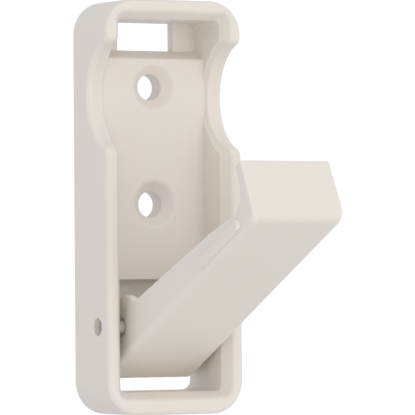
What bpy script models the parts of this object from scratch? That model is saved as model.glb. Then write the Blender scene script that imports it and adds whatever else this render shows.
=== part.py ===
"""Fold-out stair gate latch: a wall housing, a swinging lever and its pivot pin.

Metres, +Z up. The wall is the plane Y = 0, and the housing stands in front of it, towards -Y.
The origin is on the wall, half way between the two screw holes.
"""
import math

import bmesh
import bpy
from mathutils import Matrix, Vector

# ---- Driving dimensions (metres) --------------------------------------------------------------
HOUSING_WIDTH = 0.0334
HOUSING_HEIGHT = 0.0900
HOUSING_DEPTH = 0.0161
CORNER_RADIUS = 0.0072          # outer corners, seen from the front
SIDE_WALL = 0.0041              # wall thicknesses at the front rim
TOP_WALL = 0.0041
BOTTOM_WALL = 0.0049
INNER_RADIUS = 0.0022           # corners of the hollow
SIDE_DRAFT = 0.0005             # how much thicker each wall is at the back than at the rim
TOP_DRAFT = 0.0001
BOTTOM_DRAFT = 0.0001
RIM_ROUNDING = 0.0015
BACK_ROUNDING = 0.0007

BACK_WALL = 0.0027              # the thin wall against the room's wall
PAD_FRONT = 0.0065              # front of the screw pad, from the back plane
PAD_BOTTOM = 0.0293             # heights from the bottom of the housing
PAD_TOP = 0.0777
PAD_SLOPE_TOP = 0.0796          # where the pad's sloped top meets the thin wall
TOP_WINDOW_WIDTH = 0.0138
HEEL_WINDOW_TOP = 0.0185        # the lower window lets the lever's heel through

NOTCH_RADIUS = 0.0120           # round finger notch in both side walls
NOTCH_FLOOR = 0.0071            # its deepest point, from the back plane
NOTCH_HEIGHT = 0.0692           # its centre, from the bottom of the housing
NOTCH_CUSP_RADIUS = 0.0020

SCREW_HOLE_RADIUS = 0.0029
SCREW_HEAD_RADIUS = 0.0051
LOWER_SCREW_HEIGHT = 0.0458
SCREW_SPACING = 0.0257

PIN_RADIUS = 0.0017
PIN_CLEARANCE = 0.00025         # round the pin, in the housing and in the lever
PIN_RECESS = 0.0015             # how far the pin's ends lie below the housing's sides
PIN_CHAMFER = 0.0003
PIVOT_HEIGHT = 0.0191           # from the bottom of the housing
PIVOT_FROM_WALL = 0.0108

LEVER_SIDE_GAP = 0.0017         # between the lever and each side wall, at the rim
LEVER_DRAFT = 0.0002            # how much narrower each side is at the lip's tip than at the front
LEVER_OPEN_ANGLE = math.radians(63.0)
LEVER_LENGTH = 0.0627           # pivot to end face
LEVER_FRONT = 0.0067            # pivot to the flat outer face
LIP_REACH = 0.0072              # pivot line to the tip of the hooked lip
LIP_TIP_THICKNESS = 0.0026
LIP_ROOT_THICKNESS = 0.0034
THROAT_RADIUS = 0.0050          # between the lip and the arm
ARM_INNER_AT_HEAD = -0.0023     # the arm's inner face, as a distance behind the pivot line
ARM_INNER_AT_BEND = -0.0002
ARM_INNER_AT_HUB = 0.0030
ARM_BEND = 0.0440               # pivot to the slight bend in the inner face
HUB_RADIUS = 0.0081
HUB_CENTRE_ALONG = 0.0009       # the hub's round is centred a little off the pin
HUB_CENTRE_FRONT = 0.0018
HUB_ROUND_END = math.radians(-52.0)   # where the hub's round passes into the heel
HEEL_SWEEP_GAP = 0.0002         # between the heel's corner and the housing's floor, in passing
HEEL_CORNER_RADIUS = 0.0016
HEEL_WALL_GAP = 0.0003          # between the open heel and the room's wall
HEEL_FLAT_HEIGHT = 0.0036       # height of the flat that faces the wall when the lever is open
HEAD_CORNER_RADIUS = 0.0024
LIP_TIP_RADIUS = 0.0006
LEVER_EDGE_ROUNDING = 0.0006
CORE_FRONT_WALL = 0.0022        # the lever is cored from behind: wall under its outer face
CORE_CHEEK = 0.0014             # wall on each side of the core
CORE_TOP = 0.0500               # ends of the core, from the pivot
CORE_BOTTOM = -0.0050
CORE_CORNER_RADIUS = 0.0010

RIB_START = 0.0380              # grip rib on each side of the lever, from the pivot
RIB_LENGTH = 0.0188
RIB_WIDTH = 0.0024
RIB_HEIGHT = 0.0008
RIB_FRONT = 0.0044              # its centre line, in front of the pivot line

OVERSHOOT = 0.0010              # how far cutters run past the surfaces they cut
EMBED = 0.0009                  # how far joined shapes reach into each other
ROUND_STEPS = 40
CORNER_STEPS = 7

# ---- Places that follow from the sizes --------------------------------------------------------
ORIGIN_HEIGHT = LOWER_SCREW_HEIGHT + SCREW_SPACING / 2
HOUSING_BOTTOM = -ORIGIN_HEIGHT
HOUSING_TOP = HOUSING_HEIGHT - ORIGIN_HEIGHT
BORE_RADIUS = PIN_RADIUS + PIN_CLEARANCE
LEVER_WIDTH = HOUSING_WIDTH - 2 * (SIDE_WALL + LEVER_SIDE_GAP)
PIVOT = Vector((0.0, -PIVOT_FROM_WALL, PIVOT_HEIGHT - ORIGIN_HEIGHT))


# ---- Scene helpers ----------------------------------------------------------------------------
def empty_scene():
    """Remove the objects, meshes and collections of the file this script starts in."""
    for thing in list(bpy.data.objects):
        bpy.data.objects.remove(thing, do_unlink=True)
    for group in list(bpy.data.collections):
        bpy.data.collections.remove(group)


def new_collection(name):
    group = bpy.data.collections.new(name)
    bpy.context.scene.collection.children.link(group)
    return group


def plastic(name, colour, roughness):
    """A moulded plastic with one colour."""
    material = bpy.data.materials.new(name)
    material.use_nodes = True
    shader = material.node_tree.nodes["Principled BSDF"]
    shader.inputs["Base Color"].default_value = (*colour, 1.0)
    shader.inputs["Roughness"].default_value = roughness
    shader.inputs["Metallic"].default_value = 0.0
    return material


def add_mesh_object(name, mesh, group):
    thing = bpy.data.objects.new(name, mesh)
    group.objects.link(thing)
    return thing


def evaluated_mesh(thing):
    """The mesh of an object with its modifiers applied."""
    depsgraph = bpy.context.evaluated_depsgraph_get()
    depsgraph.update()
    return bpy.data.meshes.new_from_object(thing.evaluated_get(depsgraph))


def freeze(thing):
    """Replace an object's mesh by its modified one, and clear its modifiers."""
    solid = evaluated_mesh(thing)
    thing.modifiers.clear()
    thing.data = solid


def weld(mesh):
    work = bmesh.new()
    work.from_mesh(mesh)
    bmesh.ops.remove_doubles(work, verts=work.verts, dist=0.000001)
    bmesh.ops.recalc_face_normals(work, faces=work.faces)
    work.to_mesh(mesh)
    work.free()


def boolean(thing, other, operation):
    step = thing.modifiers.new(f"{operation.lower()} {other.name}", "BOOLEAN")
    step.operation = operation
    step.solver = "EXACT"
    step.object = other


# ---- Outlines, as lists of (across, up) points ------------------------------------------------
def arc(centre, radius, start, end, steps):
    """Points along an arc, both ends included; the angles are in radians."""
    points = []
    for index in range(steps + 1):
        angle = start + (end - start) * index / steps
        points.append((centre[0] + radius * math.cos(angle), centre[1] + radius * math.sin(angle)))
    return points


def rounded_rectangle(left, right, bottom, top, radius):
    points = []
    corners = ((right, top, 0.0), (left, top, 0.5), (left, bottom, 1.0), (right, bottom, 1.5))
    for x, z, quarter in corners:
        inward_x = radius if x == left else -radius
        inward_z = radius if z == bottom else -radius
        start = quarter * math.pi
        points += arc((x + inward_x, z + inward_z), radius, start, start + math.pi / 2, CORNER_STEPS)
    return points


def corner_round(before, corner, after, radius, steps):
    """The arc that rounds one corner of an outline, from the line before it to the line after."""
    here = Vector(corner)
    towards_before = (Vector(before) - here).normalized()
    towards_after = (Vector(after) - here).normalized()
    half_angle = towards_before.angle(towards_after) / 2
    middle = (towards_before + towards_after).normalized()
    centre = here + middle * radius / math.sin(half_angle)
    first = here + towards_before * radius / math.tan(half_angle) - centre
    last = here + towards_after * radius / math.tan(half_angle) - centre
    start = math.atan2(first.y, first.x)
    turn = math.atan2(first.x * last.y - first.y * last.x, first.dot(last))
    return arc(centre, radius, start, start + turn, steps)


def outline_solid(name, points, thickness, matrix, group):
    """A flat outline with a thickness: a filled 2D curve, extruded both ways and made a mesh."""
    shape = bpy.data.curves.new(name, "CURVE")
    shape.dimensions = "2D"
    shape.fill_mode = "BOTH"
    shape.extrude = thickness / 2
    line = shape.splines.new("POLY")
    line.points.add(len(points) - 1)
    for point, (x, y) in zip(line.points, points):
        point.co = (x, y, 0.0, 1.0)
    line.use_cyclic_u = True
    guide = bpy.data.objects.new(name + " outline", shape)
    group.objects.link(guide)
    guide.matrix_world = matrix
    solid = evaluated_mesh(guide)
    solid.name = name
    weld(solid)
    thing = add_mesh_object(name, solid, group)
    thing.matrix_world = guide.matrix_world
    bpy.data.objects.remove(guide, do_unlink=True)
    return thing


def place_mesh(thing):
    """Move an object's place into its mesh, so that the object sits at the origin."""
    thing.data.transform(thing.matrix_world)
    thing.matrix_world = Matrix.Identity(4)


def seen_from_front(middle_y):
    """Outline (x, z), thickness along Y, centred on middle_y."""
    return Matrix.Translation((0.0, middle_y, 0.0)) @ Matrix.Rotation(math.pi / 2, 4, "X")


def seen_from_side(middle_x):
    """Outline (y, z), thickness along X, centred on middle_x."""
    turn = Matrix.Rotation(math.pi / 2, 4, "Z") @ Matrix.Rotation(math.pi / 2, 4, "X")
    return Matrix.Translation((middle_x, 0.0, 0.0)) @ turn


def cutter(thing):
    thing.display_type = "WIRE"
    thing.hide_render = True
    return thing


def rod(name, radius, length, group):
    """A closed cylinder along X, centred on the origin."""
    work = bmesh.new()
    along_x = Matrix.Rotation(math.pi / 2, 4, "Y")
    bmesh.ops.create_cone(work, cap_ends=True, segments=ROUND_STEPS, radius1=radius, radius2=radius,
                          depth=length, matrix=along_x)
    mesh = bpy.data.meshes.new(name)
    work.to_mesh(mesh)
    work.free()
    return add_mesh_object(name, mesh, group)


def round_edges(thing, wanted, radius, segments):
    """Round the sharp edges of a mesh that wanted(edge) picks, once its flat faces are whole."""
    work = bmesh.new()
    work.from_mesh(thing.data)
    bmesh.ops.dissolve_limit(work, angle_limit=math.radians(0.5), verts=work.verts, edges=work.edges)
    sharp = [edge for edge in work.edges if edge.calc_face_angle(0.0) > math.radians(35)]
    chosen = [edge for edge in sharp if wanted(edge)]
    bmesh.ops.bevel(work, geom=chosen, offset=radius, offset_type="OFFSET", segments=segments,
                    profile=0.5, affect="EDGES", clamp_overlap=False)
    work.to_mesh(thing.data)
    work.free()


def shade(thing):
    thing.data.shade_smooth()
    thing.data.set_sharp_from_angle(angle=math.radians(32))


# ---- Housing ----------------------------------------------------------------------------------
def hollow_shape(group):
    """The hollow of the housing, open at the front and back and narrower at the back."""
    half = HOUSING_WIDTH / 2 - SIDE_WALL
    low = HOUSING_BOTTOM + BOTTOM_WALL
    high = HOUSING_TOP - TOP_WALL
    outline = rounded_rectangle(-half, half, low, high, INNER_RADIUS)
    length = HOUSING_DEPTH + 2 * OVERSHOOT
    hollow = outline_solid("hollow", outline, length, seen_from_front(-HOUSING_DEPTH / 2), group)
    place_mesh(hollow)
    middle = (low + high) / 2
    for vertex in hollow.data.vertices:
        share = (vertex.co.y + HOUSING_DEPTH) / HOUSING_DEPTH
        vertex.co.x -= math.copysign(SIDE_DRAFT, vertex.co.x) * share
        vertex.co.z += (BOTTOM_DRAFT if vertex.co.z < middle else -TOP_DRAFT) * share
    return cutter(hollow)


def notch_shape(group):
    """The round notch and the two rounded cusps where it runs out at the rim."""
    centre = (-NOTCH_FLOOR - NOTCH_RADIUS, HOUSING_BOTTOM + NOTCH_HEIGHT)
    rim = -HOUSING_DEPTH
    cusp_y = rim + NOTCH_CUSP_RADIUS
    reach = NOTCH_RADIUS + NOTCH_CUSP_RADIUS
    rise = math.sqrt(reach ** 2 - (cusp_y - centre[0]) ** 2)
    lean = math.atan2(rise, cusp_y - centre[0])
    front = rim - NOTCH_RADIUS
    lower = arc((cusp_y, centre[1] - rise), NOTCH_CUSP_RADIUS, math.pi, math.pi - lean, 5)
    bowl = arc(centre, NOTCH_RADIUS, -lean, lean, 26)
    upper = arc((cusp_y, centre[1] + rise), NOTCH_CUSP_RADIUS, math.pi + lean, math.pi, 5)
    outline = lower + bowl[1:-1] + upper
    outline += [(front, centre[1] + rise), (front, centre[1] - rise)]
    width = HOUSING_WIDTH + 2 * OVERSHOOT
    return cutter(outline_solid("notch", outline, width, seen_from_side(0.0), group))


def plate_shape(group):
    """The thin back wall and the thick screw pad on it, reaching a little into the walls."""
    low = HOUSING_BOTTOM + HEEL_WINDOW_TOP
    high = HOUSING_TOP - TOP_WALL - TOP_DRAFT + EMBED
    outline = [
        (0.0, low),
        (0.0, high),
        (-BACK_WALL, high),
        (-BACK_WALL, HOUSING_BOTTOM + PAD_SLOPE_TOP),
        (-PAD_FRONT, HOUSING_BOTTOM + PAD_TOP),
        (-PAD_FRONT, HOUSING_BOTTOM + PAD_BOTTOM),
        (-BACK_WALL, HOUSING_BOTTOM + PAD_BOTTOM),
        (-BACK_WALL, low),
    ]
    half = HOUSING_WIDTH / 2 - SIDE_WALL + EMBED
    return cutter(outline_solid("plate", outline, 2 * half, seen_from_side(0.0), group))


def top_window_shape(group):
    """The window above the screw pad, up to the underside of the top wall."""
    half = TOP_WINDOW_WIDTH / 2
    low = HOUSING_BOTTOM + PAD_SLOPE_TOP
    high = HOUSING_TOP - TOP_WALL - TOP_DRAFT
    outline = [(-half, low), (half, low), (half, high), (-half, high)]
    depth = BACK_WALL + 2 * OVERSHOOT
    return cutter(outline_solid("top window", outline, depth, seen_from_front(-BACK_WALL / 2), group))


def screw_hole_shape(height, group):
    """A countersunk hole, turned round the Y axis from its half outline."""
    sink = SCREW_HEAD_RADIUS - SCREW_HOLE_RADIUS
    wide = SCREW_HEAD_RADIUS + OVERSHOOT
    profile = [
        (0.0, OVERSHOOT),
        (SCREW_HOLE_RADIUS, OVERSHOOT),
        (SCREW_HOLE_RADIUS, sink - PAD_FRONT),
        (wide, -PAD_FRONT - OVERSHOOT),
        (0.0, -PAD_FRONT - OVERSHOOT),
    ]
    work = bmesh.new()
    points = [work.verts.new((x, y, 0.0)) for x, y in profile]
    edges = [work.edges.new(pair) for pair in zip(points, points[1:])]
    bmesh.ops.spin(work, geom=points + edges, cent=(0, 0, 0), axis=(0, 1, 0), angle=2 * math.pi,
                   steps=ROUND_STEPS, use_merge=True)
    bmesh.ops.remove_doubles(work, verts=work.verts, dist=0.000001)
    bmesh.ops.recalc_face_normals(work, faces=work.faces)
    mesh = bpy.data.meshes.new("screw hole")
    work.to_mesh(mesh)
    work.free()
    hole = add_mesh_object("screw hole", mesh, group)
    hole.location = (0.0, 0.0, height)
    return cutter(hole)


def make_housing(parts, cutters, material):
    left, right = -HOUSING_WIDTH / 2, HOUSING_WIDTH / 2
    outline = rounded_rectangle(left, right, HOUSING_BOTTOM, HOUSING_TOP, CORNER_RADIUS)
    housing = outline_solid("housing", outline, HOUSING_DEPTH, seen_from_front(-HOUSING_DEPTH / 2), parts)
    place_mesh(housing)

    def on_back(edge):
        return all(vertex.co.y > -OVERSHOOT for vertex in edge.verts)

    round_edges(housing, on_back, BACK_ROUNDING, 2)
    boolean(housing, hollow_shape(cutters), "DIFFERENCE")
    boolean(housing, notch_shape(cutters), "DIFFERENCE")
    boolean(housing, plate_shape(cutters), "UNION")
    freeze(housing)
    rim_limit = -(PAD_FRONT + NOTCH_FLOOR) / 2

    def on_rim(edge):
        return all(vertex.co.y < rim_limit for vertex in edge.verts)

    round_edges(housing, on_rim, RIM_ROUNDING, 4)
    boolean(housing, top_window_shape(cutters), "DIFFERENCE")
    for index in range(2):
        height = HOUSING_BOTTOM + LOWER_SCREW_HEIGHT + index * SCREW_SPACING
        boolean(housing, screw_hole_shape(height, cutters), "DIFFERENCE")
    bore = cutter(rod("pivot bore", BORE_RADIUS, HOUSING_WIDTH + 2 * OVERSHOOT, cutters))
    bore.location = PIVOT
    boolean(housing, bore, "DIFFERENCE")
    housing.data.materials.append(material)
    return housing


# ---- Lever ------------------------------------------------------------------------------------
def lever_outline():
    """The lever folded up, seen from the side: (y, z) round its pivot, with its front at -y."""
    slope = (ARM_INNER_AT_BEND - ARM_INNER_AT_HUB) / ARM_BEND

    def inner_face(z):
        return ARM_INNER_AT_HUB + slope * z

    hub = Vector((-HUB_CENTRE_FRONT, HUB_CENTRE_ALONG))
    # Where the arm's inner face, as a line, leaves the hub's circle: a quadratic in z.
    offset = ARM_INNER_AT_HUB - hub.x
    square = 1 + slope ** 2
    linear = slope * offset - hub.y
    constant = offset ** 2 + hub.y ** 2 - HUB_RADIUS ** 2
    leave_z = (-linear + math.sqrt(linear ** 2 - square * constant)) / square
    leave = (inner_face(leave_z), leave_z)
    leave_angle = math.atan2(leave[1] - hub.y, leave[0] - hub.x)

    front = -LEVER_FRONT
    floor_rise = BOTTOM_DRAFT / HOUSING_DEPTH
    floor_below = PIVOT_HEIGHT - BOTTOM_WALL - floor_rise * (HOUSING_DEPTH - PIVOT_FROM_WALL)
    sweep = floor_below / math.hypot(1.0, floor_rise) - HEEL_SWEEP_GAP
    corner_front = LEVER_FRONT - HEEL_CORNER_RADIUS
    heel = math.sqrt((sweep - HEEL_CORNER_RADIUS) ** 2 - corner_front ** 2) + HEEL_CORNER_RADIUS

    # The heel's flat faces the wall when the lever is open: y*cos + z*sin is constant along it.
    cosine, sine = math.cos(LEVER_OPEN_ANGLE), math.sin(LEVER_OPEN_ANGLE)
    to_wall = PIVOT_FROM_WALL - HEEL_WALL_GAP
    flat_low = ((to_wall - heel * sine) / cosine, -heel)
    flat_high = (flat_low[0] + HEEL_FLAT_HEIGHT * sine, flat_low[1] + HEEL_FLAT_HEIGHT * cosine)

    lip_under = LEVER_LENGTH - LIP_TIP_THICKNESS
    lip_root = LEVER_LENGTH - LIP_ROOT_THICKNESS
    throat = (ARM_INNER_AT_HEAD, lip_root)
    bend = (ARM_INNER_AT_BEND, ARM_BEND)
    end_front = (front, LEVER_LENGTH)
    end_back = (LIP_REACH, LEVER_LENGTH)
    lip_tip = (LIP_REACH, lip_under)
    heel_front = (front, -heel)

    points = corner_round(flat_low, heel_front, end_front, HEEL_CORNER_RADIUS, 3)
    points += corner_round(heel_front, end_front, end_back, HEAD_CORNER_RADIUS, 5)
    points += corner_round(end_front, end_back, lip_tip, LIP_TIP_RADIUS, 3)
    points += corner_round(end_back, lip_tip, throat, LIP_TIP_RADIUS, 3)
    points += corner_round(lip_tip, throat, bend, THROAT_RADIUS, 8)
    points.append(bend)
    points += arc(hub, HUB_RADIUS, leave_angle, HUB_ROUND_END, 16)
    points += [flat_high, flat_low]
    return points


def lever_half_width(y):
    """Half the lever's width at a depth y from its pivot: its sides draw in from front to lip."""
    return LEVER_WIDTH / 2 - LEVER_DRAFT * (y + LEVER_FRONT) / (LEVER_FRONT + LIP_REACH)


def core_shape(group):
    """The pocket that cores the lever from behind, between two cheeks that hold the pin."""
    front = CORE_FRONT_WALL - LEVER_FRONT
    behind = HUB_RADIUS + OVERSHOOT
    low_front, high_front = (front, CORE_BOTTOM), (front, CORE_TOP)
    low_behind, high_behind = (behind, CORE_BOTTOM), (behind, CORE_TOP)
    outline = corner_round(low_behind, low_front, high_front, CORE_CORNER_RADIUS, 4)
    outline += corner_round(low_front, high_front, high_behind, CORE_CORNER_RADIUS, 4)
    outline += [high_behind, low_behind]
    width = 2 * (LEVER_WIDTH / 2 - LEVER_DRAFT - CORE_CHEEK)
    return cutter(outline_solid("core", outline, width, seen_from_side(0.0), group))


def rib_shape(side, group):
    """A round-ended grip rib on one side face of the lever, running along it."""
    half = lever_half_width(-RIB_FRONT)
    radius = RIB_WIDTH / 2
    first = RIB_START + radius
    last = RIB_START + RIB_LENGTH - radius
    outline = arc((-RIB_FRONT, last), radius, 0.0, math.pi, 8)
    outline += arc((-RIB_FRONT, first), radius, math.pi, 2 * math.pi, 8)
    middle = side * (half + (RIB_HEIGHT - EMBED) / 2)
    name = "left rib" if side < 0 else "right rib"
    rib = outline_solid(name, outline, RIB_HEIGHT + EMBED, seen_from_side(middle), group)
    place_mesh(rib)

    def on_top(edge):
        return all(side * vertex.co.x > half + RIB_HEIGHT / 2 for vertex in edge.verts)

    round_edges(rib, on_top, RIB_HEIGHT / 2, 2)
    return cutter(rib)


def make_lever(parts, cutters, material):
    lever = outline_solid("lever", lever_outline(), LEVER_WIDTH, seen_from_side(0.0), parts)
    place_mesh(lever)
    for vertex in lever.data.vertices:
        vertex.co.x = math.copysign(lever_half_width(vertex.co.y), vertex.co.x)

    def along_a_side(edge):
        first, second = (vertex.co.x for vertex in edge.verts)
        return first * second > 0

    round_edges(lever, along_a_side, LEVER_EDGE_ROUNDING, 3)
    boolean(lever, core_shape(cutters), "DIFFERENCE")
    for side in (-1, 1):
        boolean(lever, rib_shape(side, cutters), "UNION")
    bore = cutter(rod("lever bore", BORE_RADIUS, LEVER_WIDTH + 2 * OVERSHOOT, cutters))
    boolean(lever, bore, "DIFFERENCE")
    freeze(lever)
    lever.data.materials.append(material)
    lever.location = PIVOT
    lever.rotation_euler = (LEVER_OPEN_ANGLE, 0.0, 0.0)
    return lever


# ---- Pivot pin --------------------------------------------------------------------------------
def make_pin(parts, material):
    pin = rod("pivot_pin", PIN_RADIUS, HOUSING_WIDTH - 2 * PIN_RECESS, parts)
    round_edges(pin, lambda edge: True, PIN_CHAMFER, 2)
    pin.data.materials.append(material)
    pin.location = PIVOT
    return pin


def build():
    empty_scene()
    parts = new_collection("stair gate latch")
    cutters = new_collection("cutters")
    housing_plastic = plastic("housing_plastic", (0.665, 0.630, 0.560), 0.42)
    lever_plastic = plastic("lever_plastic", (0.680, 0.645, 0.575), 0.42)
    pin_plastic = plastic("pin_plastic", (0.640, 0.605, 0.540), 0.45)
    shade(make_housing(parts, cutters, housing_plastic))
    shade(make_lever(parts, cutters, lever_plastic))
    shade(make_pin(parts, pin_plastic))


build()
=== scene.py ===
# %% [markdown]
# # A fold-out stair gate latch
# The real object is three plastic mouldings: a housing that is screwed to the wall, a hooked lever that
# swings out of it, and the pin that the lever turns on. This lesson rebuilds their skins as smooth
# surfaces round a working model, which already knows where everything is and how it moves.
# Loading that model comes first, because every size below is measured from it.

# %% Load the working model
import math

import bmesh
import bpy
import numpy as np
from mathutils import Matrix, Vector


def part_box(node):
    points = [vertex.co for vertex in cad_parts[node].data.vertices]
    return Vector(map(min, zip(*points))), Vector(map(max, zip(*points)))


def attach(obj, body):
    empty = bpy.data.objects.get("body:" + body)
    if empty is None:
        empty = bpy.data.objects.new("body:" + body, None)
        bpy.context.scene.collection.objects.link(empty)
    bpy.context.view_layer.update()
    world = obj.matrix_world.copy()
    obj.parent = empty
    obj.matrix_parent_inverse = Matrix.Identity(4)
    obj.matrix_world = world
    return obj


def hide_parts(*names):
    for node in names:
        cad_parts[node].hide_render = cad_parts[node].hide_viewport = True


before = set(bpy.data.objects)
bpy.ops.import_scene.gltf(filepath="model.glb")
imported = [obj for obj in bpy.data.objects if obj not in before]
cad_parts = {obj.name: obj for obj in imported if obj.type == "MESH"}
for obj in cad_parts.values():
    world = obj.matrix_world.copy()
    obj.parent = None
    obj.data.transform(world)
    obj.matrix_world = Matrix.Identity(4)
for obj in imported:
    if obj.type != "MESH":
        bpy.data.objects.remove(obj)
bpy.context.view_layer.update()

# %% [markdown]
# ## The sizes that the skins are drawn from
# The outside sizes are read from the working model's own boxes. Walls, roundings and slopes are what a
# moulder would write on the drawing. All of them are in metres, Y runs into the wall, and Z is up.

# %% Read the places and name the sizes
housing_low, housing_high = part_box("housing")
pin_low, pin_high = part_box("pivot_pin")
pivot = (pin_low + pin_high) / 2
pivot_y, pivot_z = pivot.y, pivot.z

HALF_WIDTH = (housing_high.x - housing_low.x) / 2
FOOT, HEAD = housing_low.z, housing_high.z
DEPTH = -housing_low.y
CORNER = 0.0072                 # outer corner radius
SIDE_WALL, TOP_WALL, BOTTOM_WALL = 0.0041, 0.0041, 0.0049
INNER_CORNER = 0.0022
SIDE_DRAFT, TOP_DRAFT, BOTTOM_DRAFT = 0.0005, 0.0001, 0.0001
LEAD_DEPTH, LEAD_WIDTH, LEAD_ROUND = 0.0027, 0.0017, 0.0013   # the sloped lead-in inside the rim
LEAD_SQUARE = 0.0011            # so deep it runs square to the edge, and from there straight back
INNER_CORNER_FRONT = 0.0010     # corners of the hollow where the lead-in meets it
NOTCH_FADE = 0.0060             # where the edge dives this deep, the lead-in is down to half its size
RIM_ROUND, BACK_ROUND = 0.0012, 0.0007
CLEAR = 0.0012                  # how far a cutter runs past the surface that it leaves
print(f"housing {2 * HALF_WIDTH * 1000:.1f} x {(HEAD - FOOT) * 1000:.1f} x {DEPTH * 1000:.1f} mm")
print(f"pivot at y {pivot_y * 1000:.2f}, z {pivot_z * 1000:.2f} mm")

# %% [markdown]
# ## Two helpers that every surface uses
# A surface is a grid of points: one direction runs along a path, the other round a profile. The first
# helper numbers the four corners of every cell of such a grid at once, and the second puts points and
# faces into Blender and turns every face outwards.

# %% Grid faces and mesh making
def grid_faces(rows, columns, wrap_rows=False, wrap_columns=False):
    """Corner numbers of a grid's cells: point (row, column) has the number row * columns + column."""
    row = np.arange(rows if wrap_rows else rows - 1)[:, None]
    column = np.arange(columns if wrap_columns else columns - 1)[None, :]
    next_row, next_column = (row + 1) % rows, (column + 1) % columns
    corners = (row * columns + column, row * columns + next_column,
               next_row * columns + next_column, next_row * columns + column)
    return np.stack(corners, axis=-1).reshape(-1, 4)


def make_piece(name, points, faces, caps=()):
    """A mesh object from an array of points, an array of four-cornered faces and lists for end caps."""
    mesh = bpy.data.meshes.new(name)
    mesh.from_pydata(points.reshape(-1, 3).tolist(), [], faces.tolist() + [list(cap) for cap in caps])
    work = bmesh.new()
    work.from_mesh(mesh)
    bmesh.ops.remove_doubles(work, verts=work.verts, dist=1e-7)
    bmesh.ops.recalc_face_normals(work, faces=work.faces)
    work.to_mesh(mesh)
    work.free()
    thing = bpy.data.objects.new(name, mesh)
    bpy.context.scene.collection.objects.link(thing)
    print(f"{name}: {len(mesh.vertices)} points, {len(mesh.polygons)} faces")
    return thing


def quarter(steps):
    """Sine and cosine of the angles from 0 to a quarter turn."""
    angle = np.linspace(0, np.pi / 2, steps + 1)
    return np.sin(angle), np.cos(angle)


# %% [markdown]
# ## The housing's wall
# The wall is one band that runs once round a rounded rectangle. It could be a box with a hole cut in it,
# but then its front edge could not be rounded evenly where it dips into the finger notches. So it is a
# profile carried along the front edge: the profile always stands square to that edge, also where the
# edge dives into a notch, and the rounding stays the same all the way, as a ball-nosed cutter leaves it.

# %% The front edge and its notch
NOTCH_RADIUS, NOTCH_FLOOR = 0.0120, 0.0071
NOTCH_CENTRE = FOOT + 0.0692
CUSP_RADIUS = 0.0020
notch_y = -NOTCH_FLOOR - NOTCH_RADIUS
cusp_y = CUSP_RADIUS - DEPTH
notch_rise = math.sqrt((NOTCH_RADIUS + CUSP_RADIUS) ** 2 - (cusp_y - notch_y) ** 2)
notch_lean = math.atan2(notch_rise, cusp_y - notch_y)
bowl_half = NOTCH_RADIUS * math.sin(notch_lean)


def front_edge(z):
    """How far out the front edge is at height z, and its slope.

    Away from the notch it is the depth of the housing. In the notch it is a circle round a point in front
    of the housing, and a small circle bent the other way joins the two at each end.
    """
    away = np.abs(z - NOTCH_CENTRE)
    side = np.sign(z - NOTCH_CENTRE)
    in_bowl = away <= bowl_half
    in_cusp = ~in_bowl & (away < notch_rise)
    bowl_rise = np.sqrt(np.maximum(NOTCH_RADIUS ** 2 - away ** 2, 1e-12))
    cusp_away = np.clip(notch_rise - away, 0, CUSP_RADIUS * 0.9999)
    cusp_rise = np.sqrt(CUSP_RADIUS ** 2 - cusp_away ** 2)
    y = np.where(in_bowl, notch_y + bowl_rise, np.where(in_cusp, cusp_y - cusp_rise, -DEPTH))
    slope = np.where(in_bowl, -away / bowl_rise, np.where(in_cusp, -cusp_away / cusp_rise, 0.0))
    return y, slope * side


def side_heights(steps_below=18, cusp_steps=9, bowl_steps=84):
    """Heights along a side wall, from low to high, close together where the front edge turns."""
    bowl = NOTCH_RADIUS * np.sin(np.linspace(-notch_lean, notch_lean, bowl_steps + 1))
    cusp = notch_rise - CUSP_RADIUS * np.sin(np.linspace(0, notch_lean, cusp_steps + 1))[:-1]
    below = np.linspace(FOOT + CORNER + 0.002, NOTCH_CENTRE - notch_rise, steps_below + 1)[:-1]
    return np.concatenate([below, NOTCH_CENTRE - cusp, NOTCH_CENTRE + bowl, NOTCH_CENTRE + cusp[::-1]])


heights = side_heights()
print(f"{len(heights)} heights on a side, notch {2000 * notch_rise:.1f} mm long at the rim")


# %% A rounded rectangle with matching points
def rounded_loop(half, low, high, radius, corner_steps=22, flat_steps=14):
    """Points (x, z) once round a rounded rectangle, from the foot's left end and anticlockwise.

    Each corner is a quarter circle, each side takes the shared list of heights, so that two such loops
    of different size have the same number of points and can be joined one to one.
    """
    turn = np.linspace(-np.pi / 2, 0, corner_steps + 1)
    corner = np.stack([np.cos(turn), np.sin(turn)], axis=1) * radius
    flip_x, flip_z = np.array([-1, 1]), np.array([1, -1])
    right_foot = corner + [half - radius, low + radius]
    right_head = corner[::-1] * flip_z + [half - radius, high - radius]
    side = np.stack([np.full_like(heights, half), heights], axis=1)
    across = np.linspace(-1, 1, flat_steps + 1)[1:-1, None] * (half - radius)
    foot = np.hstack([across, np.full_like(across, low)])
    head = np.hstack([-across, np.full_like(across, high)])
    right = np.concatenate([right_foot, side, right_head])
    return np.concatenate([foot, right, head, right[::-1] * flip_x])


# The loops at the outside, at the lead-in's inner line and at the hollow's back match point for point.
outer_loop = rounded_loop(HALF_WIDTH, FOOT, HEAD, CORNER)
inner_half = HALF_WIDTH - SIDE_WALL
inner_front = rounded_loop(inner_half, FOOT + BOTTOM_WALL, HEAD - TOP_WALL, INNER_CORNER_FRONT)
inner_back = rounded_loop(inner_half - SIDE_DRAFT, FOOT + BOTTOM_WALL + BOTTOM_DRAFT,
                          HEAD - TOP_WALL - TOP_DRAFT, INNER_CORNER)
print("points round the wall:", len(outer_loop))


# %% [markdown]
# Inside the front edge a lead-in slopes into the hollow and ends in a crisp line, so that the lever
# finds its way in. It is drawn as a line that turns: first on a round, then straight, then on a tiny one.

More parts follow.
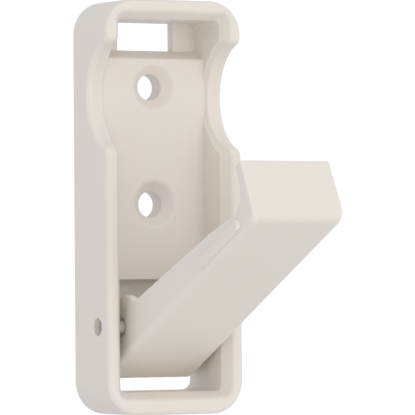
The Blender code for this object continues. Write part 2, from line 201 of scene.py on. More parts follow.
# %% The lead-in's profile
def lead_in(round_steps=12, crisp=0.00018):
    """How far each point of the lead-in lies outside the hollow's wall, and how deep behind the rim.

    With t as the direction the line runs in, a round of radius R takes it R sin t inwards and
    R(1 - cos t) back. It turns to the slope's direction, runs straight, and turns on to the wall's.
    """
    lean = math.atan2(LEAD_DEPTH, LEAD_WIDTH)
    first = np.linspace(0, lean, round_steps)
    last = np.linspace(lean, np.pi / 2, 4)
    begin = LEAD_WIDTH + LEAD_ROUND * math.tan(lean / 2)
    outside = begin - LEAD_ROUND * np.sin(first)
    deep = LEAD_ROUND * (1 - np.cos(first))
    back = crisp * math.tan((np.pi / 2 - lean) / 2)
    last_outside = back * math.cos(lean) - crisp * (np.sin(last) - math.sin(lean))
    last_deep = LEAD_DEPTH - back * math.sin(lean) + crisp * (math.cos(lean) - np.cos(last))
    run = np.linspace(0, 1, 5)[1:-1]
    between = [a[-1] + (b[0] - a[-1]) * run for a, b in ((outside, last_outside), (deep, last_deep))]
    return (np.concatenate([outside, between[0], last_outside]),
            np.concatenate([deep, between[1], last_deep]))


# %% Carry the wall's profile along the front edge
def wall_surface(round_steps=10, face_steps=6):
    """The wall as rows of points, each row one line that runs once round the housing.

    Outer rim rows: the front edge, moved sideways through the wall by r(1 - cos) and inwards, square to
    the edge, by r(1 - sin). Then come the lead-in's rows, and the rows of the faces run straight from
    there to the back. The lead-in is half as large in the notches. The inner face leans, so its place is
    a blend of the front loop and the back loop.
    """
    edge_y, slope = front_edge(outer_loop[:, 1])
    length = np.sqrt(1 + slope ** 2)
    inward = np.stack([np.zeros_like(slope), 1 / length, -slope / length], axis=1)
    across = inner_front - outer_loop
    across /= np.linalg.norm(across, axis=1, keepdims=True)
    through = np.stack([across[:, 0], np.zeros_like(slope), across[:, 1]], axis=1)
    sine, cosine = (part[:, None, None] for part in quarter(round_steps))

    outer_edge = np.stack([outer_loop[:, 0], edge_y, outer_loop[:, 1]], axis=1)
    outer_round = outer_edge + through * RIM_ROUND * (1 - cosine) + inward * RIM_ROUND * (1 - sine)

    def on_inner_face(y):
        share = ((y + DEPTH) / DEPTH)[..., None]
        place = inner_front * (1 - share) + inner_back * share
        return np.stack([place[..., 0], y, place[..., 1]], axis=-1)

    smaller = 1 - 0.5 * np.clip((edge_y + DEPTH) / NOTCH_FADE, 0, 1)
    outside, depth = (part[:, None] * smaller for part in lead_in())
    square, straight = np.minimum(depth, LEAD_SQUARE), np.maximum(depth - LEAD_SQUARE, 0)
    inner_round = on_inner_face(edge_y + inward[:, 1] * square + straight) - through * outside[:, :, None]
    inner_round[..., 2] += inward[:, 2] * square

    start, share = inner_round[-1], np.linspace(0, 1, face_steps + 1)[1:, None]
    face_y = start[:, 1] * (1 - share)
    inner_face = on_inner_face(face_y)
    inner_face[..., 2] += (start[:, 2] - on_inner_face(start[:, 1])[:, 2]) * (1 - share)

    back_edge = np.stack([outer_loop[:, 0], np.zeros_like(slope), outer_loop[:, 1]], axis=1)
    into = np.array([0.0, -1.0, 0.0])
    back_round = back_edge + through * BACK_ROUND * (1 - sine) + into * BACK_ROUND * (1 - cosine)
    outer_face = back_round[-1] + (outer_round[0] - back_round[-1]) * share[:, :, None]
    return np.concatenate([back_round, outer_face[:-1], outer_round, inner_round, inner_face])


wall_points = wall_surface()
wall = make_piece("housing_skin", wall_points, grid_faces(*wall_points.shape[:2], True, True))

# %% [markdown]
# ## The back plate with its screw pad
# Behind the hollow lies a thin plate, and on it the thick pad that the screws pull against. Seen from
# the side it is one outline, the same from left to right, so it is an outline carried straight across.
# Its ends reach a little way into the walls, and a Boolean union then makes wall and plate one body.

# %% Rounded outlines
def rounded_outline(corners, radii, steps=8):
    """An outline of straight lines with each corner replaced by an arc of its own radius.

    At each corner the arc touches both lines at the distance radius / tan(half the corner's angle), and
    its centre lies on the line that halves the angle, at radius / sin(half the angle).
    """
    here = np.array(corners, float)
    radius = np.array(radii, float)[:, None]
    before, after = np.roll(here, 1, axis=0) - here, np.roll(here, -1, axis=0) - here
    before /= np.linalg.norm(before, axis=1, keepdims=True)
    after /= np.linalg.norm(after, axis=1, keepdims=True)
    half = np.arccos(np.clip((before * after).sum(1, keepdims=True), -1, 1)) / 2
    middle = before + after
    middle /= np.linalg.norm(middle, axis=1, keepdims=True)
    centre = here + middle * radius / np.sin(half)
    first = here + before * radius / np.tan(half) - centre
    last = here + after * radius / np.tan(half) - centre
    start = np.arctan2(first[:, 1], first[:, 0])
    turn = np.arctan2(first[:, 0] * last[:, 1] - first[:, 1] * last[:, 0], (first * last).sum(1))
    angle = start[:, None] + turn[:, None] * np.linspace(0, 1, steps + 1)
    arc = np.stack([np.cos(angle), np.sin(angle)], axis=-1) * radius[:, :, None]
    return (centre[:, None, :] + arc).reshape(-1, 2)


# %% The plate
BACK_WALL, PAD_FRONT = 0.0027, 0.0065
PAD_BOTTOM, PAD_TOP, SLOPE_TOP = FOOT + 0.0293, FOOT + 0.0777, FOOT + 0.0796
WINDOW_TOP = FOOT + 0.0185
EMBED = 0.0009                  # how far the plate's top lies inside the wall above it
SIDE_EMBED = 0.0024             # and its ends in the side walls, under the lead-in
CRISP = 0.00025                 # the small rounding on the plate's corners
plate_top = HEAD - TOP_WALL - TOP_DRAFT + EMBED
outline = rounded_outline(
    [(0, WINDOW_TOP), (0, plate_top), (-BACK_WALL, plate_top), (-BACK_WALL, SLOPE_TOP),
     (-PAD_FRONT, PAD_TOP), (-PAD_FRONT, PAD_BOTTOM), (-BACK_WALL, PAD_BOTTOM), (-BACK_WALL, WINDOW_TOP)],
    [CRISP, CRISP, CRISP, CRISP, 1.6 * CRISP, CRISP, CRISP, CRISP])


def carried_across(outline_yz, half_width, columns=2):
    """A side outline carried straight across from -half_width to half_width, as rows along X."""
    across = np.linspace(-half_width, half_width, columns)
    x = np.broadcast_to(across[:, None], (columns, len(outline_yz)))
    y = np.broadcast_to(outline_yz[:, 0], x.shape)
    z = np.broadcast_to(outline_yz[:, 1], x.shape)
    return np.stack([x, y, z], axis=-1)


def capped(name, rows):
    """A closed piece from rows that each run once round it, with a flat cap on the first and last."""
    count, around = rows.shape[:2]
    ends = [range(around), range((count - 1) * around, count * around)]
    return make_piece(name, rows, grid_faces(count, around, wrap_columns=True), ends)


plate = capped("plate", carried_across(outline, inner_half + SIDE_EMBED))


# %% [markdown]
# ## The window, the screw holes and the pivot hole
# Each opening is cut with a solid of its own shape. The edges of a real moulding are never quite sharp,
# so the cutters flare out a little where they leave the plastic, and the cut itself is then rounded.

# %% Turned solids
def turned(name, radius, along, centre, axis, steps=96):
    """A profile of (radius, distance along the axis) turned once round an axis through centre."""
    angle = np.linspace(0, 2 * np.pi, steps, endpoint=False)
    radius, along = np.array(radius)[:, None], np.array(along)[:, None]
    first, second = radius * np.cos(angle), radius * np.sin(angle)
    run = np.broadcast_to(along, first.shape)
    order = {"X": (run, first, second), "Y": (second, run, first)}[axis]
    return capped(name, np.stack(order, axis=-1) + np.array(centre))


def flare(radius, place, outwards, rounding, steps=6, reach=0.0010):
    """The end of a cutter: a hole's wall that rounds outwards by a quarter circle, then runs clear."""
    sine, cosine = quarter(steps)
    run = place - outwards * rounding + outwards * rounding * sine
    return (np.append(radius + rounding * (1 - cosine), radius + rounding),
            np.append(run, place + outwards * reach))


# %% Screw holes
SCREW_HOLE, SCREW_HEAD, SCREW_SPACING = 0.0029, 0.0051, 0.0257
HOLE_EDGE, HEAD_EDGE = 0.00020, 0.0016
STEP_OUT = 0.00003              # how much the cutter widens where it leaves the rounding


def screw_cutter(height):
    """A plain hole from the back, then a cone at 45 degrees that rounds over into the pad's front.

    The round's centre lies R under the front, R tan(22.5) outside the cone's rim, and a point at angle t
    lies R sin t inside that centre and R cos t towards the front. It stops short of t = 0, where the
    cutter would only touch the front.
    """
    back_radius, back_run = flare(SCREW_HOLE, 0.0, 1.0, HOLE_EDGE)
    cone = SCREW_HEAD - SCREW_HOLE
    angle = np.radians(np.linspace(45, 7, 8))
    lip_radius = SCREW_HEAD + HEAD_EDGE * (math.tan(np.pi / 8) - np.sin(angle))
    lip_run = -PAD_FRONT + HEAD_EDGE * (1 - np.cos(angle))
    radius = np.concatenate([back_radius[::-1], [SCREW_HOLE], lip_radius, [lip_radius[-1] + STEP_OUT]])
    run = np.concatenate([back_run[::-1], [cone - PAD_FRONT], lip_run, [-PAD_FRONT - CLEAR]])
    return turned("screw cutter", radius, run, (0, 0, height), "Y")


screw_cutters = [screw_cutter(sign * SCREW_SPACING / 2) for sign in (-1, 1)]

# %% Pivot hole and top window
BORE, HOUSING_BORE_EDGE, LEVER_BORE_EDGE = 0.00195, 0.00022, 0.00025


def bore_cutter(name, half_width, edge):
    """A rod along the pivot that flares out at both ends, half_width away from the middle."""
    radius, run = flare(BORE, half_width, 1.0, edge)
    profile = np.append(radius[::-1], radius), np.append(run[::-1], -run)
    return turned(name, *profile, (0, pivot_y, pivot_z), "X", 64)


pivot_hole = bore_cutter("pivot hole cutter", HALF_WIDTH, HOUSING_BORE_EDGE)
TOP_WINDOW = 0.0138
window_low, window_high = SLOPE_TOP, HEAD - TOP_WALL - TOP_DRAFT


def window_cutter(rounding=0.0003, rows=7):
    """A square opening whose left, right and lower edges round outwards at its front and its back.

    Each row is the square at one depth, and each row after the edge of the wall is wider by
    r(1 - cos), where the sine is how far the row has come through the rounding.
    """
    sine, cosine = quarter(rows)
    wider = np.append(rounding * (1 - cosine), rounding)
    front = np.append(-BACK_WALL + rounding * (1 - sine), -BACK_WALL - CLEAR)
    back = np.append(-rounding * (1 - sine), CLEAR)
    depth, grow = np.concatenate([front[::-1], back]), np.concatenate([wider[::-1], wider])
    half = TOP_WINDOW / 2 + grow
    low, high = window_low - grow, np.full_like(grow, window_high)
    corners = [(-half, low), (half, low), (half, high), (-half, high)]
    return capped("window cutter", np.stack([np.stack([x, depth, z], axis=-1) for x, z in corners], axis=1))


window = window_cutter()


# %% Join and cut
def boolean(thing, tool, operation):
    """Join or cut with an exact Boolean, and take the tool away again."""
    step = thing.modifiers.new(operation.lower(), "BOOLEAN")
    step.operation, step.solver, step.object = operation, "EXACT", tool
    depsgraph = bpy.context.evaluated_depsgraph_get()
    solid = bpy.data.meshes.new_from_object(thing.evaluated_get(depsgraph))
    thing.modifiers.clear()
    thing.data = solid
    bpy.data.objects.remove(tool, do_unlink=True)


boolean(wall, plate, "UNION")
for tool in [window, pivot_hole, *screw_cutters]:
    boolean(wall, tool, "DIFFERENCE")
print("housing skin after cutting:", len(wall.data.polygons), "faces")

# %% [markdown]
# ## The lever
# Seen from the side the lever is an arm with a hooked lip at one end and a round hub with a flat heel at
# the other. It is drawn folded up first, because folded its front lies straight up and down. Every
# corner of that outline is an arc, so the outline can be moved inwards evenly, and that is how its long
# edges are rounded: row by row the outline moves in while the row moves out to the side. A stretched
# cube with a bevel could not change its rounding from the broad front edges to the crisp end.

# %% Sizes of the lever
LEVER_SIDE_GAP, LEVER_DRAFT = 0.0017, 0.0002
LEVER_HALF = HALF_WIDTH - SIDE_WALL - LEVER_SIDE_GAP
OPEN_ANGLE = math.radians(63.0)
LENGTH, FRONT, LIP_REACH = 0.06265, 0.0067, 0.0072
LIP_TIP, LIP_ROOT, THROAT = 0.0026, 0.0034, 0.0050
INNER_AT_HEAD, INNER_AT_BEND, INNER_AT_HUB = -0.0023, -0.0002, 0.0030
BEND = 0.0440                   # the inner face has a slight bend here
HUB = np.array([-0.0018, 0.0009])
HUB_RADIUS = 0.0081
HUB_END = math.radians(-52.0)
HEEL_CORNER, HEEL_FLAT = 0.0016, 0.0036
HEAD_CORNER, LIP_CORNER = 0.0024, 0.0006
PIVOT_ABOVE_FOOT = pivot_z - FOOT
SWEEP_GAP, WALL_GAP = 0.0002, 0.0003     # what the heel keeps from the floor and from the wall

# The heel reaches as far as it can without touching the housing's floor as it passes.
floor_rise = BOTTOM_DRAFT / DEPTH
floor_below = PIVOT_ABOVE_FOOT - BOTTOM_WALL - floor_rise * (DEPTH + pivot_y)
sweep = floor_below / math.hypot(1.0, floor_rise) - SWEEP_GAP
heel = math.sqrt((sweep - HEEL_CORNER) ** 2 - (FRONT - HEEL_CORNER) ** 2) + HEEL_CORNER
print(f"heel {heel * 1000:.2f} mm below the pivot, half width {LEVER_HALF * 1000:.2f} mm")


# %% The lever's side outline
def arc_points(centre, radius, start, end, steps):
    """Points along an arc, from one angle to the other."""
    angle = np.linspace(start, end, steps + 1)[:, None]
    return np.array(centre) + radius * np.hstack([np.cos(angle), np.sin(angle)])


def lever_outline():
    """The folded lever's outline (y, z) round the pivot, with the front at -y, as a closed line.

    The arm's inner face is two straight lines that meet at a slight bend. The hub is a circle, and a small
    arc that touches it and the lower line fills the valley between them: its centre lies at radius r from
    the line and at R + r from the hub's centre.
    """
    slope = (INNER_AT_BEND - INNER_AT_HUB) / BEND
    length = math.hypot(1.0, slope)
    normal, along = np.array([1.0, -slope]) / length, np.array([slope, 1.0]) / length
    valley = 0.0004
    start = np.array([INNER_AT_HUB, 0.0]) + normal * valley - HUB
    middle = start @ along
    run = -middle + math.sqrt(middle ** 2 - start @ start + (HUB_RADIUS + valley) ** 2)
    valley_centre = HUB + start + along * run
    to_line, to_hub = -normal, (HUB - valley_centre) / np.linalg.norm(HUB - valley_centre)
    line_angle = math.atan2(to_line[1], to_line[0]) % (2 * math.pi)
    hub_angle = math.atan2(to_hub[1], to_hub[0]) % (2 * math.pi)

    cosine, sine = math.cos(OPEN_ANGLE), math.sin(OPEN_ANGLE)
    to_wall = -pivot_y - WALL_GAP
    low = np.array([(to_wall - heel * sine) / cosine, -heel])
    high = low + HEEL_FLAT * np.array([sine, cosine])
    hub_end = HUB + HUB_RADIUS * np.array([math.cos(HUB_END), math.sin(HUB_END)])
    foot_of_arm = valley_centre + to_line * valley
    corners = rounded_outline(
        [foot_of_arm, hub_end, high, low, (-FRONT, -heel), (-FRONT, LENGTH), (LIP_REACH, LENGTH),
         (LIP_REACH, LENGTH - LIP_TIP), (INNER_AT_HEAD, LENGTH - LIP_ROOT), (INNER_AT_BEND, BEND)],
        [1e-5, 1e-5, 0.0006, 0.0004, HEEL_CORNER, HEAD_CORNER, LIP_CORNER, LIP_CORNER, THROAT, 0.005], 10)
    rounds = corners.reshape(-1, 11, 2)
    fillet = arc_points(valley_centre, valley, line_angle, hub_angle, 5)
    hub_start = math.atan2(-to_hub[1], -to_hub[0])
    hub = arc_points(HUB, HUB_RADIUS, hub_start, HUB_END, 48)[1:]
    return np.concatenate([fillet, hub, *rounds[2:]])


def finer(outline, longest):
    """The closed line with extra points on its long straight runs, evenly spread along its length."""
    step = np.linalg.norm(np.roll(outline, -1, axis=0) - outline, axis=1)
    pieces = np.maximum(np.ceil(step / longest).astype(int), 1)
    place = np.repeat(np.arange(len(outline)), pieces)
    first = np.repeat(np.cumsum(pieces) - pieces, pieces)
    share = ((np.arange(len(place)) - first) / pieces[place])[:, None]
    following = np.roll(outline, -1, axis=0)[place]
    return outline[place] * (1 - share) + following * share


side_line = finer(lever_outline(), 0.0008)
print("lever outline:", len(side_line), "points")


# %% The lever's skin
def smooth_step(value, low, high):
    """A value that goes from 0 at low to 1 at high along 3t^2 - 2t^3."""
    share = np.clip((value - low) / (high - low), 0, 1)
    return share * share * (3 - 2 * share)


def half_width(y):
    """Half the lever's width at depth y: the sides draw in evenly from the front to the lip's tip."""
    return LEVER_HALF - LEVER_DRAFT * (y + FRONT) / (FRONT + LIP_REACH)


BROAD, FINE, HEEL_FINE, HEEL_BROAD = 0.0013, 0.0005, 0.00032, 0.0014     # roundings of the side edges


def lever_surface(line, steps=9):
    """Rows of points from the left side face to the right one.

    At the angle t the outline has moved inwards by r(1 - cos t) and the row stands r(1 - sin t) short of
    the side. The radius r is broad on the front's two long edges and small round the end, lip and heel.
    """
    tangent = np.roll(line, -1, axis=0) - np.roll(line, 1, axis=0)
    tangent /= np.linalg.norm(tangent, axis=1, keepdims=True)
    inward = np.stack([tangent[:, 1], -tangent[:, 0]], axis=1)
    middle = line.mean(axis=0)
    inward *= np.sign(((middle - line) * inward).sum())
    y, z = line[:, 0], line[:, 1]
    on_front = smooth_step(-y, FRONT - HEAD_CORNER, FRONT) * smooth_step(z, -heel, -heel + 0.008)
    heel_share = smooth_step(-z, 0.003, 0.009)
    radius = FINE + (BROAD - FINE) * on_front + (HEEL_FINE - FINE) * heel_share
    at_heel_corner = smooth_step(-y, 0.0035, 0.0050) * smooth_step(-z, heel - 0.006, heel - 0.0020)
    radius += at_heel_corner * (HEEL_BROAD - radius)
    sine, cosine = quarter(steps)
    inset = radius * (1 - cosine[:, None])
    moved = line + inward * inset[:, :, None]
    x = half_width(moved[..., 0]) - radius * (1 - sine[:, None])
    right = np.concatenate([x[..., None], moved], axis=-1)
    left = right * [-1, 1, 1]
    across = np.linspace(0, 1, 7)[1:-1, None, None]
    return np.concatenate([left[::-1], left[0] * (1 - across) + right[0] * across, right])


def opened(points):
    """Turn folded points (x, y, z) round the pivot by the open angle and move them to their place."""
    cosine, sine = math.cos(OPEN_ANGLE), math.sin(OPEN_ANGLE)
    x, y, z = points[..., 0], points[..., 1], points[..., 2]
    return np.stack([x, pivot_y + y * cosine - z * sine, pivot_z + y * sine + z * cosine], axis=-1)


lever = capped("lever_skin", opened(lever_surface(side_line)))

# %% [markdown]
# ## The core, the grip ribs and the lever's bore
# A thick bar of plastic would sink and warp as it cools, so the lever is cored from behind: a pocket
# leaves a wall of even thickness under its face and two cheeks that hold the pin.
# A flat-topped rib on each side gives the thumb something to push against. Each is a dome over a slot
# shape: all its cross-sections are the same, like a half ellipse with fuller corners.

# %% Core, ribs and bore
RIB_START, RIB_LENGTH, RIB_WIDTH, RIB_HEIGHT, RIB_FRONT = 0.0380, 0.0188, 0.0024, 0.0008, 0.0044


def rib(side, steps=9, around=20):
    """Rows round a slot shape: at angle t its radius is R cos(t)^0.45 and its height H sin(t)^0.45.

    The power makes the cross-section squarer than an ellipse, with a flat top and steep sides.
    """
    radius = RIB_WIDTH / 2
    upper = arc_points((-RIB_FRONT, RIB_START + RIB_LENGTH - radius), 1.0, 0, np.pi, around)
    lower = arc_points((-RIB_FRONT, RIB_START + radius), 1.0, np.pi, 2 * np.pi, around)
    centre = np.concatenate([np.tile([-RIB_FRONT, RIB_START + RIB_LENGTH - radius], (around + 1, 1)),
                             np.tile([-RIB_FRONT, RIB_START + radius], (around + 1, 1))])
    direction = np.concatenate([upper, lower]) - centre
    angle = np.linspace(0, np.pi / 2 * 0.97, steps)
    shrink = np.append(1.0, np.cos(angle) ** 0.45)[:, None, None]
    rise = np.append(-EMBED, RIB_HEIGHT * np.sin(angle) ** 0.45)[:, None]
    flat = centre + direction * radius * shrink
    x = side * (half_width(flat[..., 0]) + rise)
    return capped("rib", opened(np.concatenate([x[..., None], flat], axis=-1)))


CORE_FRONT, CORE_CHEEK, CORE_TOP, CORE_BOTTOM, CORE_CORNER = 0.0022, 0.0014, 0.0500, -0.0050, 0.0010
CORE_BACK = HUB_RADIUS + 0.0010     # the pocket's cutter ends behind the hub
core_line = rounded_outline(
    [(CORE_BACK, CORE_BOTTOM), (CORE_FRONT - FRONT, CORE_BOTTOM), (CORE_FRONT - FRONT, CORE_TOP),
     (CORE_BACK, CORE_TOP)], [1e-5, CORE_CORNER, CORE_CORNER, 1e-5])
core_rows = carried_across(core_line, LEVER_HALF - LEVER_DRAFT - CORE_CHEEK)
boolean(lever, capped("core", opened(core_rows)), "DIFFERENCE")
for side in (-1, 1):
    boolean(lever, rib(side), "UNION")
side_at_pin = float(half_width(0.0))
boolean(lever, bore_cutter("lever bore", side_at_pin, LEVER_BORE_EDGE), "DIFFERENCE")
print("lever skin after cutting:", len(lever.data.polygons), "faces")

# %% [markdown]
# ## The pin
# The pin is a short moulded rod. Its profile is half a slot with rounded ends, turned round the X axis.

# %% Pin
pin_radius, pin_half = (pin_high.z - pin_low.z) / 2, (pin_high.x - pin_low.x) / 2
PIN_ROUND = 0.0003
sine, cosine = quarter(6)
tip_radius = np.append(pin_radius - PIN_ROUND * (1 - sine), 0.0)[::-1]
tip_run = np.append(pin_half - PIN_ROUND * (1 - cosine), pin_half)[::-1]
pin_profile = (np.concatenate([tip_radius[1:], tip_radius[:0:-1]]),
               np.concatenate([tip_run[1:], -tip_run[:0:-1]]))
pin = turned("pivot_pin_skin", *pin_profile, (0, pivot_y, pivot_z), "X", 72)

# %% [markdown]
# ## Hand the skins to the working model
# Each skin takes the place of one node of the working model and rides on that node's body, so that it
# moves with the joint.

# %% Smooth shading, riding and replacing
def finish_skin(thing, node, body, sharpest=32):
    """Shade smoothly up to an angle, then hang the skin on its body in place of the node."""
    thing.data.shade_smooth()
    thing.data.set_sharp_from_angle(angle=math.radians(sharpest))
    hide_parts(node)
    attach(thing, body)


finish_skin(wall, "housing", "housing_body")
finish_skin(lever, "lever", "lever_body")
finish_skin(pin, "pivot_pin", "housing_body")


# %% Where the edges are
SHARPEST_ROUND = 0.0012         # a rounding of this radius or less counts as a full edge


def mark_edges(thing, largest=0.25e-6):
    """Write how strongly each small face bends outwards, from 0 to 1, on the face's corners.

    Along an edge from a to b the bend is (normal b - normal a) . (b - a) / length^2, in turns per metre.
    A point takes the mean over its edges, a face the mean over its points, and a large face gets 0.
    """
    mesh = thing.data
    points, normals = (np.empty(3 * len(mesh.vertices)) for _ in range(2))
    mesh.vertices.foreach_get("co", points)
    mesh.vertices.foreach_get("normal", normals)
    ends = np.empty(2 * len(mesh.edges), int)
    mesh.edges.foreach_get("vertices", ends)
    points, normals, ends = points.reshape(-1, 3), normals.reshape(-1, 3), ends.reshape(-1, 2)
    run = points[ends[:, 1]] - points[ends[:, 0]]
    change = normals[ends[:, 1]] - normals[ends[:, 0]]
    bend = (run * change).sum(1) / np.maximum((run ** 2).sum(1), 1e-12)
    count = np.bincount(ends.ravel(), minlength=len(points))
    total = np.bincount(ends.ravel(), np.repeat(bend, 2), len(points))
    at_point = total / np.maximum(count, 1)
    corners, sizes = np.empty(len(mesh.loops), int), np.empty(len(mesh.polygons), int)
    area = np.empty(len(mesh.polygons))
    mesh.loops.foreach_get("vertex_index", corners)
    mesh.polygons.foreach_get("loop_total", sizes)
    mesh.polygons.foreach_get("area", area)
    owner = np.repeat(np.arange(len(sizes)), sizes)
    on_face = np.bincount(owner, at_point[corners], len(sizes)) / sizes * (area < largest)
    value = np.clip(on_face[owner] * SHARPEST_ROUND, 0, 1)
    layer = mesh.attributes.new("edge_curve", "FLOAT", "CORNER")
    layer.data.foreach_set("value", value)
    print(f"{thing.name}: {(value > 0.3).mean() * 100:.0f}% of the corners lie on a rounded edge")


for thing in (wall, lever, pin):
    mark_edges(thing)

# %% [markdown]
# ## Moulded plastic
# The three mouldings are the same kind of plastic: a warm white, satin, with a very fine spark-eroded
# texture from the mould. Up close such a plastic is never one colour. It is a little cloudy, its rounded
# edges carry a painted highlight, a paler colour, and are glossier, and its surface has low waves where it
# shrank in the mould. The pin's colour is darker: painted shade for the narrow gap it sits in. Those
# effects are node groups, and each material sets their strength for itself.

# %% Node group helpers
def new_group(name, inputs, outputs):
    """An empty shader node group with named inputs (name, kind, default) and outputs (name, kind)."""
    group = bpy.data.node_groups.new(name, "ShaderNodeTree")
    for label, kind, default in inputs:
        socket = group.interface.new_socket(label, in_out="INPUT", socket_type=kind)
        socket.default_value = default
    for label, kind in outputs:
        group.interface.new_socket(label, in_out="OUTPUT", socket_type=kind)
    return group, group.nodes.new("NodeGroupInput"), group.nodes.new("NodeGroupOutput")


def noise(tree, vector, scale, detail=3.0, roughness=0.55):
    """A noise texture's value, where the scale is a number or another node's output."""
    node = tree.nodes.new("ShaderNodeTexNoise")
    node.inputs["Detail"].default_value = detail
    node.inputs["Roughness"].default_value = roughness
    tree.links.new(vector, node.inputs["Vector"])
    if isinstance(scale, (int, float)):
        node.inputs["Scale"].default_value = scale
    else:
        tree.links.new(scale, node.inputs["Scale"])
    return node.outputs["Fac"]


def calculate(tree, operation, first, second, third=None):
    """One step of arithmetic on numbers or on other nodes' outputs."""
    node = tree.nodes.new("ShaderNodeMath")
    node.operation = operation
    for socket, value in zip(node.inputs, (first, second, third)):
        if isinstance(value, (int, float)):
            socket.default_value = value
        elif value is not None:
            tree.links.new(value, socket)
    return node.outputs["Value"]


def mixed(tree, share, first, second):
    """The first colour where share is 0, the second where it is 1."""
    node = tree.nodes.new("ShaderNodeMix")
    node.data_type = "RGBA"
    tree.links.new(share, node.inputs["Factor"])
    for label, value in (("A", first), ("B", second)):
        socket = next(item for item in node.inputs if item.name == label and item.type == "RGBA")
        if isinstance(value, tuple):
            socket.default_value = value
        else:
            tree.links.new(value, socket)
    return next(item for item in node.outputs if item.type == "RGBA")


# %% Cloudy colour
COLOR, FLOAT, VECTOR = "NodeSocketColor", "NodeSocketFloat", "NodeSocketVector"
clouds, group_in, group_out = new_group(
    "Cloudy colour",
    [("Vector", VECTOR, (0, 0, 0)), ("Colour", COLOR, (0.7, 0.7, 0.7, 1)),
     ("Second colour", COLOR, (0.6, 0.6, 0.6, 1)), ("Edge highlight colour", COLOR, (0.8, 0.8, 0.8, 1)),
     ("Edge", FLOAT, 0.0)],
    [("Colour", COLOR)])
wide = noise(clouds, group_in.outputs["Vector"], 55.0, 2.0)
fine = noise(clouds, group_in.outputs["Vector"], 900.0, 4.0)
share = calculate(clouds, "MULTIPLY_ADD", fine, 0.35, calculate(clouds, "MULTIPLY", wide, 0.65))
body_colour = mixed(clouds, share, group_in.outputs["Colour"], group_in.outputs["Second colour"])
# Rounded edges are mixed towards a paler colour: a painted highlight.
highlighted = mixed(clouds, group_in.outputs["Edge"], body_colour, group_in.outputs["Edge highlight colour"])
clouds.links.new(highlighted, group_out.inputs["Colour"])

# %% Painted edge highlight, which also makes the edges glossier
edge_highlight, group_in, group_out = new_group(
    "Edge highlight and gloss", [("Vector", VECTOR, (0, 0, 0)), ("Bend", FLOAT, 0.0), ("Amount", FLOAT, 0.5)],
    [("Edge", FLOAT)])
# The mask is how strongly a face bends outwards, broken up by noise. It drives the painted edge highlight and
# the lower roughness.
patches = noise(edge_highlight, group_in.outputs["Vector"], 260.0, 5.0, 0.65)
broken = calculate(edge_highlight, "MULTIPLY_ADD", patches, 0.9, 0.45)
strength = calculate(edge_highlight, "MULTIPLY", group_in.outputs["Bend"], group_in.outputs["Amount"])
mask = calculate(edge_highlight, "MULTIPLY", strength, broken)
mask.node.use_clamp = True
edge_highlight.links.new(mask, group_out.inputs["Edge"])

# %% Spark-eroded texture
grain, group_in, group_out = new_group(
    "Moulded texture", [("Vector", VECTOR, (0, 0, 0)), ("Grain scale", FLOAT, 4200.0), ("Waves", FLOAT, 0.3)],
    [("Height", FLOAT), ("Gloss change", FLOAT)])
pits = noise(grain, group_in.outputs["Vector"], group_in.outputs["Grain scale"], 3.0, 0.6)
sink = noise(grain, group_in.outputs["Vector"], 120.0, 1.0)
height = calculate(grain, "MULTIPLY_ADD", sink, group_in.outputs["Waves"], pits)
gloss = calculate(grain, "MULTIPLY_ADD", noise(grain, group_in.outputs["Vector"], 330.0, 4.0), 0.12, -0.06)
grain.links.new(height, group_out.inputs["Height"])
grain.links.new(gloss, group_out.inputs["Gloss change"])
print("node groups:", [group.name for group in (clouds, edge_highlight, grain)])


# %% One material for each moulding
def plastic(name, colour, second, edge, roughness, grain_scale, bump, highlight_and_gloss_amount):
    """A satin plastic: cloudy colour, a painted highlight and lower roughness on its rounded edges, and a
    fine texture as a bump.
    """
    material = bpy.data.materials.new(name)
    material.use_nodes = True
    tree = material.node_tree
    shader = tree.nodes["Principled BSDF"]
    shader.inputs["Specular IOR Level"].default_value = 0.42
    place = tree.nodes.new("ShaderNodeTexCoord").outputs["Object"]
    bend = tree.nodes.new("ShaderNodeAttribute")
    bend.attribute_name = "edge_curve"

    edges = tree.nodes.new("ShaderNodeGroup")
    edges.node_tree = edge_highlight
    edges.inputs["Amount"].default_value = highlight_and_gloss_amount
    tree.links.new(place, edges.inputs["Vector"])
    tree.links.new(bend.outputs["Fac"], edges.inputs["Bend"])

    cloudy = tree.nodes.new("ShaderNodeGroup")
    cloudy.node_tree = clouds
    # The edge colour is a painted highlight on the rounded edges.
    for label, value in (("Colour", colour), ("Second colour", second), ("Edge highlight colour", edge)):
        cloudy.inputs[label].default_value = (*value, 1.0)
    tree.links.new(place, cloudy.inputs["Vector"])
    tree.links.new(edges.outputs["Edge"], cloudy.inputs["Edge"])
    tree.links.new(cloudy.outputs["Colour"], shader.inputs["Base Color"])

    texture = tree.nodes.new("ShaderNodeGroup")
    texture.node_tree = grain
    texture.inputs["Grain scale"].default_value = grain_scale
    texture.inputs["Waves"].default_value = 0.3
    tree.links.new(place, texture.inputs["Vector"])
    polished = calculate(tree, "MULTIPLY_ADD", edges.outputs["Edge"], -0.10, roughness)
    changed = calculate(tree, "ADD", polished, texture.outputs["Gloss change"])
    tree.links.new(changed, shader.inputs["Roughness"])

    relief = tree.nodes.new("ShaderNodeBump")
    relief.inputs["Strength"].default_value = bump
    relief.inputs["Distance"].default_value = 0.00002
    tree.links.new(texture.outputs["Height"], relief.inputs["Height"])
    tree.links.new(relief.outputs["Normal"], shader.inputs["Normal"])
    return material


# The third colour of each plastic is a painted highlight on the rounded edges.
housing_plastic = plastic("housing plastic", (0.815, 0.785, 0.738), (0.790, 0.755, 0.700),
                          (0.86, 0.84, 0.80), 0.42, 4200.0, 0.5, 0.5)
lever_plastic = plastic("lever plastic", (0.820, 0.790, 0.745), (0.795, 0.760, 0.707),
                        (0.86, 0.84, 0.80), 0.38, 4600.0, 0.45, 0.6)
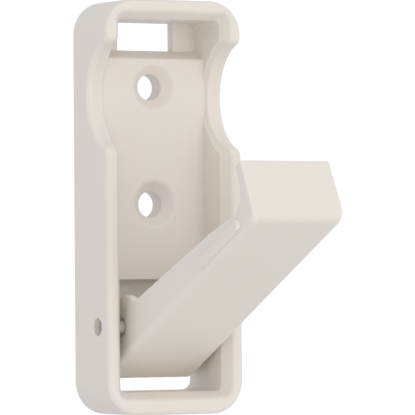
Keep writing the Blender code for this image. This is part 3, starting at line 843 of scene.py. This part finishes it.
# The pin is the same plastic. Its darker colours are painted shade for the narrow gap between the lever and
# the wall.
shaded_pin_plastic = plastic("pin plastic with painted shade", (0.62, 0.60, 0.56), (0.58, 0.555, 0.51),
                      (0.68, 0.66, 0.62), 0.45, 5200.0, 0.35, 0.4)
for thing, material in ((wall, housing_plastic), (lever, lever_plastic), (pin, shaded_pin_plastic)):
    thing.data.materials.clear()
    thing.data.materials.append(material)
    print(thing.name, "wears", material.name)

# %% [markdown]
# ## Floor, light and camera
# The latch is shown against a bright, even background. The light comes from everywhere, as in a light
# tent, warmer and stronger from the front than from behind, so the shadows are faint and warm. Two large
# soft lamps add a little from the front and from below.

# %% Floor
FLOOR, FLOOR_HALF = FOOT - 0.30, 0.45
turns = np.array([[-1, -1, 0], [1, -1, 0], [1, 1, 0], [-1, 1, 0]])
floor_points = turns * FLOOR_HALF + np.array([0, 0, FLOOR])
floor = make_piece("floor", floor_points, np.array([[0, 1, 2, 3]]))
floor_material = bpy.data.materials.new("floor")
floor_material.use_nodes = True
floor_shader = floor_material.node_tree.nodes["Principled BSDF"]
floor_shader.inputs["Base Color"].default_value = (0.82, 0.81, 0.79, 1.0)
floor_shader.inputs["Roughness"].default_value = 0.7
floor.data.materials.append(floor_material)

# %% Light
scene = bpy.context.scene
scene.view_settings.view_transform = "Standard"
world = bpy.data.worlds.new("light tent")
scene.world = world
world.use_nodes = True
sky = world.node_tree
backdrop = sky.nodes["Background"]
backdrop.inputs["Color"].default_value = (1.0, 1.0, 1.0, 1.0)
backdrop.inputs["Strength"].default_value = 1.05
tent = sky.nodes.new("ShaderNodeBackground")
direction = sky.nodes.new("ShaderNodeSeparateXYZ")
sky.links.new(sky.nodes.new("ShaderNodeTexCoord").outputs["Generated"], direction.inputs["Vector"])
from_front = calculate(sky, "MULTIPLY_ADD", direction.outputs["Y"], -0.5, 0.5)
tint = mixed(sky, from_front, (0.64, 0.655, 0.71, 1.0), (1.0, 0.96, 0.93, 1.0))
sky.links.new(tint, tent.inputs["Color"])
tent.inputs["Strength"].default_value = 1.0
seen = sky.nodes.new("ShaderNodeLightPath")
choice = sky.nodes.new("ShaderNodeMixShader")
sky.links.new(seen.outputs["Is Camera Ray"], choice.inputs["Fac"])
sky.links.new(tent.outputs["Background"], choice.inputs[1])
sky.links.new(backdrop.outputs["Background"], choice.inputs[2])
sky.links.new(choice.outputs["Shader"], sky.nodes["World Output"].inputs["Surface"])


def soft_light(name, place, size, energy, colour):
    """A square area light that looks at the latch."""
    data = bpy.data.lights.new(name, "AREA")
    data.size, data.energy, data.color = size, energy, colour
    lamp = bpy.data.objects.new(name, data)
    lamp.location = place
    lamp.rotation_euler = (-Vector(place)).to_track_quat("-Z", "Y").to_euler()
    scene.collection.objects.link(lamp)
    print(f"{name}: {energy} W")


soft_light("key", (-0.10, -1.00, 0.00), 0.7, 0.7, (1.0, 0.95, 0.89))
soft_light("from below", (0.05, -0.80, -0.34), 0.5, 0.25, (1.0, 0.97, 0.93))

# %% Camera
EYE, TARGET = Vector((-0.4573, -0.8493, -0.0299)), Vector((0.0, -0.0072, -0.01365))
ASIDE, ROLL = math.radians(0.67), math.radians(0.41)
ahead = (TARGET - EYE).normalized()
right = ahead.cross(Vector((0, 0, 1))).normalized()
above = right.cross(ahead)
ahead, right = (ahead * math.cos(ASIDE) + right * math.sin(ASIDE),
                right * math.cos(ASIDE) - ahead * math.sin(ASIDE))
right, above = (right * math.cos(ROLL) - above * math.sin(ROLL),
                right * math.sin(ROLL) + above * math.cos(ROLL))
camera_data = bpy.data.cameras.new("camera")
camera_data.lens, camera_data.sensor_width = 380.0, 36.0
camera_data.clip_start, camera_data.clip_end = 0.05, 20.0
camera = bpy.data.objects.new("camera", camera_data)
camera.matrix_world = Matrix.Translation(EYE) @ Matrix((right, above, -ahead)).transposed().to_4x4()
scene.collection.objects.link(camera)
scene.camera = camera
print(f"camera at {tuple(round(value, 4) for value in EYE)}, lens {camera_data.lens:.0f} mm")
